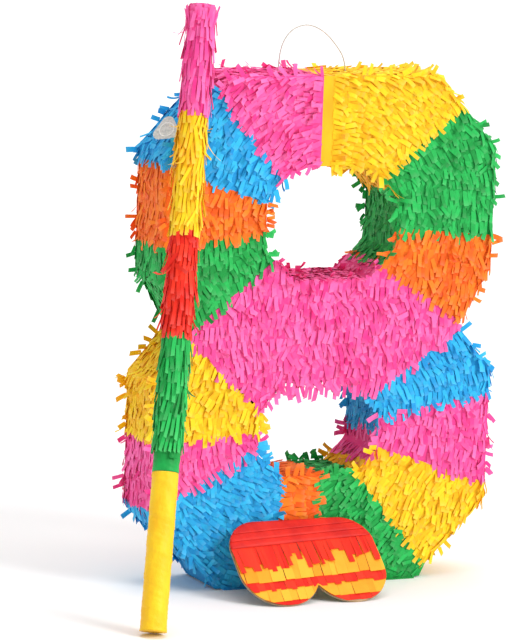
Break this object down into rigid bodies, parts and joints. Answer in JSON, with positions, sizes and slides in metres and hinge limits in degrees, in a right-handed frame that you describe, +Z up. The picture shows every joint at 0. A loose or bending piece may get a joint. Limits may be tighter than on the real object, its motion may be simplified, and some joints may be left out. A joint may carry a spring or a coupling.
{
  "type": "pinata",
  "caption": "Number-eight party pinata: a hollow card box covered in coloured paper fringe, with a fill flap, hanging loop, fringed stick and paper blindfold.",
  "frame": {"origin": "centre of the card box's base, on the surface it stands on", "axes": "+Z up, +X to the viewer's right, and the front faces -Y"},
  "size_m": [0.4748, 0.269, 0.6172],
  "materials": {
    "corrugated_card": "matte kraft",
    "mask_board": "matte board",
    "paper_pink": "crepe paper",
    "paper_blue": "crepe paper",
    "paper_orange": "crepe paper",
    "paper_green": "crepe paper",
    "paper_yellow": "crepe paper",
    "paper_yellow_plain": "smooth paper",
    "paper_red": "crepe paper",
    "paper_amber": "crepe paper",
    "dowel_wood": "plain sanded",
    "elastic_webbing": "woven elastic",
    "staple_wire": "bright wire",
    "tag_card": "coated card, blank",
    "nylon_line": "clear monofilament"
  },
  "bodies": {
    "pinata": {"back_panel": "corrugated_card", "base_fringe_blue": "paper_blue", "base_fringe_green": "paper_green", "base_fringe_orange": "paper_orange", "base_wall": "corrugated_card", "fringe_blue_lower_left": "paper_blue", "fringe_blue_right": "paper_blue", "fringe_blue_upper_left": "paper_blue", "fringe_green_bottom": "paper_green", "fringe_green_left": "paper_green", "fringe_green_right": "paper_green", "fringe_orange_bottom": "paper_orange", "fringe_orange_left": "paper_orange", "fringe_orange_right": "paper_orange", "fringe_pink_left": "paper_pink", "fringe_pink_middle": "paper_pink", "fringe_pink_right": "paper_pink", "fringe_pink_top": "paper_pink", "fringe_yellow_left": "paper_yellow", "fringe_yellow_lower_right": "paper_yellow", "fringe_yellow_top": "paper_yellow", "front_panel": "corrugated_card", "hanger_knots": "nylon_line", "hanger_pad": "corrugated_card", "hanging_loop": "nylon_line", "lower_hole_wall": "corrugated_card", "lower_left_wall": "corrugated_card", "lower_right_wall": "corrugated_card", "plain_yellow_strip": "paper_yellow_plain", "tag": "tag_card", "top_wall": "corrugated_card", "upper_hole_wall": "corrugated_card", "upper_left_wall": "corrugated_card", "upper_right_wall": "corrugated_card"},
    "fill_flap": {"fill_flap": "corrugated_card", "fill_flap_fringe": "paper_yellow"},
    "stick": {"stick_dowel": "dowel_wood", "stick_green_band": "paper_green", "stick_green_fringe": "paper_green", "stick_handle_wrap": "paper_yellow_plain", "stick_pink_fringe": "paper_pink", "stick_red_fringe": "paper_red", "stick_yellow_fringe": "paper_yellow"},
    "blindfold": {"mask_card": "mask_board", "mask_red_bottom": "paper_red", "mask_red_fringe": "paper_red", "mask_red_middle": "paper_red", "mask_red_top": "paper_red", "mask_staples": "staple_wire", "mask_strap": "elastic_webbing", "mask_yellow_lower": "paper_amber", "mask_yellow_upper": "paper_amber"}
  },
  "joints": [
    {"name": "fill_flap_fold", "type": "hinge", "parent": "pinata", "child": "fill_flap", "pos_m": [0.05, 0.038, 0.5212], "axis": [1, 0, 0], "range_deg": [0, 88]},
    {"name": "stick_lift_off", "type": "slide", "parent": "pinata", "child": "stick", "axis": [0, -1, 0], "range_m": [0, 0.3]},
    {"name": "blindfold_lift_off", "type": "slide", "parent": "pinata", "child": "blindfold", "axis": [0, -1, 0], "range_m": [0, 0.25]}
  ]
}
